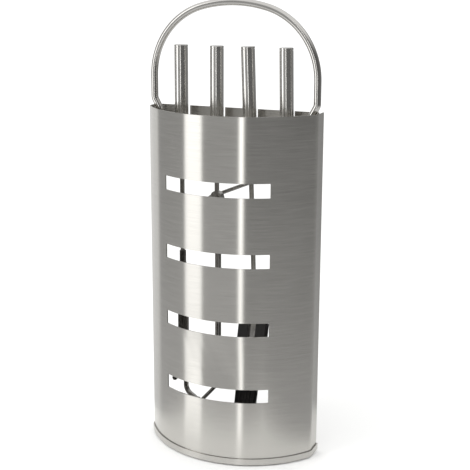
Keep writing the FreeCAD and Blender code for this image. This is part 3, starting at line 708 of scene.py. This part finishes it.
# ------------------------------------------------------------------ the studio
@dataclass
class Studio:
    """A pale floor, a soft lamp, a pale room with two soft boxes in it, and the camera."""

    lens: float = 80.84
    distance: float = 1.5
    azimuth: float = 22.726
    pitch: float = 14.188
    roll: float = 0.155
    shift_x: float = 0.0092
    height: float = 0.7098
    axis_y: float = 0.023
    floor_half: float = 3.0
    board_half: float = 0.2
    room_light: float = 1.2
    # Greys of the room: its open side, what is near, and the side that has no light. Angles are degrees
    # from the front, anticlockwise from above.
    open_side: float = 0.85
    open_from: float = -135.0
    open_to: float = -108.0
    open_edge: float = 3.0
    dim_to: float = 90.0
    near_side: float = 0.38
    dim_side: float = 0.14
    # A soft box at the left and a strip box in front: light, middle and width in degrees from the front.
    box: tuple[float, float, float] = (2.1, -46.0, 20.0)
    strip: tuple[float, float, float] = (3.0, 11.0, 2.0)
    soft_edge: float = 2.5
    # The ceiling fades in between two heights of the looking direction, from -1 down to 1 up.
    ceiling: float = 0.95
    ceiling_fade: tuple[float, float] = (0.35, 0.8)
    # What lies below eye level, and how much of it covers the room there.
    below: float = 0.72
    below_share: float = 0.95
    below_fade: tuple[float, float] = (-0.24, -0.48)
    # The lamp: its size and place in metres, and where it aims.
    lamp_size: tuple[float, float] = (0.9, 1.2)
    lamp_power: float = 14.0
    lamp_turn: float = -42.0
    lamp_reach: float = 1.7
    lamp_height: float = 1.5
    lamp_tilt: float = 53.0

    def make_floor(self) -> None:
        """A square of matt white board under the stand, in a wide pale floor that steel doesn't show."""
        material = bpy.data.materials.new("matt_white_board")
        material.use_nodes = True
        shader = material.node_tree.nodes["Principled BSDF"]
        shader.inputs["Base Color"].default_value = linear_colour("#F7F7F6")
        shader.inputs["Roughness"].default_value = 0.9
        corners = np.array([(-1.0, -1.0, 0.0), (1.0, -1.0, 0.0), (1.0, 1.0, 0.0), (-1.0, 1.0, 0.0)])
        ring = np.vstack([corners * self.board_half, corners * self.floor_half])
        around = np.arange(4)
        after = (around + 1) % 4
        sheets = {
            "board": (corners * self.board_half, [(0, 1, 2, 3)]),
            "floor": (ring, np.stack([around + 4, after + 4, after, around], axis=1).tolist()),
        }
        for name, (points, faces) in sheets.items():
            mesh = bpy.data.meshes.new(name)
            mesh.from_pydata(points.tolist(), [], faces)
            mesh.materials.append(material)
            sheet = bpy.data.objects.new(name, mesh)
            bpy.context.scene.collection.objects.link(sheet)
            sheet.visible_glossy = name == "board"

    def ring(self) -> list[tuple[float, float]]:
        """How light the room is all round, from its few parts.

        Returns:
            Degrees from the front, anticlockwise from above, each with a grey.
        """
        back = 180.0
        stops = [(-back, self.near_side), (self.open_from, self.open_side),
                 (self.open_to, self.open_side), (self.open_to + self.open_edge, self.near_side)]
        for (light, middle, width), after in ((self.box, self.near_side), (self.strip, self.dim_side)):
            first, last = middle - width / 2, middle + width / 2
            stops += [(first - self.soft_edge, self.near_side), (first, light), (last, light),
                      (last + self.soft_edge, after)]
        return stops + [(self.dim_to, self.dim_side), (back, self.near_side)]

    def make_room(self) -> None:
        """Light from all sides: even for matt things, with two soft boxes for what shines."""
        world = bpy.data.worlds.new("studio_room")
        bpy.context.scene.world = world
        world.use_nodes = True
        tree = world.node_tree
        tree.nodes.clear()
        way = add_node(tree, "TexCoord").outputs["Generated"]
        parts = add_node(tree, "SeparateXYZ", inputs={0: way})
        back = add_node(tree, "Math", {"operation": "MULTIPLY"}, {0: parts.outputs["Y"], 1: -1.0})
        turn = add_node(tree, "Math", {"operation": "ARCTAN2"}, {0: parts.outputs["X"], 1: back.outputs[0]})
        share = add_node(tree, "MapRange", inputs={
            "Value": turn.outputs[0], "From Min": -math.pi, "From Max": math.pi,
        })
        ramp = add_node(tree, "ValToRGB", inputs={"Fac": share.outputs["Result"]})
        stops = ramp.color_ramp.elements
        while len(stops) > 1:
            stops.remove(stops[-1])
        brightest = max(grey for _, grey in self.ring())
        for number, (degrees, grey) in enumerate(self.ring()):
            stop = stops[0] if number == 0 else stops.new((degrees + 180) / 360)
            stop.position = (degrees + 180) / 360
            stop.color = (grey / brightest,) * 3 + (1.0,)
        ring = add_node(tree, "VectorMath", {"operation": "SCALE"}, {
            0: ramp.outputs["Color"], "Scale": brightest,
        })
        overhead = add_node(tree, "MapRange", {"interpolation_type": "SMOOTHSTEP"}, {
            "Value": parts.outputs["Z"],
            "From Min": self.ceiling_fade[0], "From Max": self.ceiling_fade[1],
        })
        sunk = add_node(tree, "MapRange", inputs={
            "Value": parts.outputs["Z"],
            "From Min": self.below_fade[0], "From Max": self.below_fade[1],
            "To Min": 0.0, "To Max": self.below_share,
        })
        around = add_node(tree, "Mix", {"data_type": "RGBA"}, {
            0: sunk.outputs["Result"], 6: ring.outputs[0], 7: (self.below,) * 3 + (1.0,),
        })
        room = add_node(tree, "Mix", {"data_type": "RGBA"}, {
            0: overhead.outputs["Result"], 6: around.outputs[2], 7: (self.ceiling,) * 3 + (1.0,),
        })
        glossy = add_node(tree, "LightPath").outputs["Is Glossy Ray"]
        light = add_node(tree, "Mix", {"data_type": "RGBA"}, {
            0: glossy, 6: (self.room_light,) * 3 + (1.0,), 7: room.outputs[2],
        })
        sky = add_node(tree, "Background", inputs={"Color": light.outputs[2]})
        add_node(tree, "OutputWorld", inputs={"Surface": sky.outputs[0]})
        world.cycles.sampling_method = "NONE"

    def make_lamp(self) -> None:
        """A large soft lamp at the left of the camera, for the shape of the dark parts."""
        lamp = bpy.data.lights.new("soft_lamp", "AREA")
        lamp.shape = "RECTANGLE"
        lamp.size, lamp.size_y = self.lamp_size
        lamp.energy = self.lamp_power
        holder = bpy.data.objects.new("soft_lamp", lamp)
        turn = math.radians(self.lamp_turn)
        holder.location = (
            self.lamp_reach * math.sin(turn), -self.lamp_reach * math.cos(turn), self.lamp_height,
        )
        aim = Matrix.Rotation(turn, 4, "Z") @ Matrix.Rotation(math.radians(self.lamp_tilt), 4, "X")
        holder.rotation_euler = aim.to_euler()
        holder.visible_glossy = False
        bpy.context.scene.collection.objects.link(holder)

    def make_camera(self) -> None:
        """A camera that looks down at the stand from its right."""
        data = bpy.data.cameras.new("camera")
        data.sensor_width = 36.0
        data.lens = self.lens
        data.shift_x = self.shift_x
        data.clip_start, data.clip_end = 0.1, 30.0
        camera = bpy.data.objects.new("camera", data)
        turn = math.radians(self.azimuth)
        camera.matrix_world = (
            Matrix.Translation((
                self.distance * math.sin(turn), self.axis_y - self.distance * math.cos(turn), self.height,
            ))
            @ Matrix.Rotation(turn, 4, "Z")
            @ Matrix.Rotation(math.radians(90.0 - self.pitch), 4, "X")
            @ Matrix.Rotation(math.radians(self.roll), 4, "Z")
        )
        bpy.context.scene.collection.objects.link(camera)
        bpy.context.scene.camera = camera

    def build(self) -> None:
        """Set up the floor, the light and the camera."""
        self.make_floor()
        self.make_room()
        self.make_lamp()
        self.make_camera()
        bpy.context.scene.view_settings.view_transform = "Standard"


def main() -> None:
    """Build the sub-assemblies in order."""
    logging.basicConfig(level=logging.INFO, format="%(name)s: %(message)s")
    for part in (Stand(), Handles(), IronWork(), BrushHead(), Studio()):
        LOG.info("%s", type(part).__name__)
        part.build()


if __name__ == "__main__":
    main()
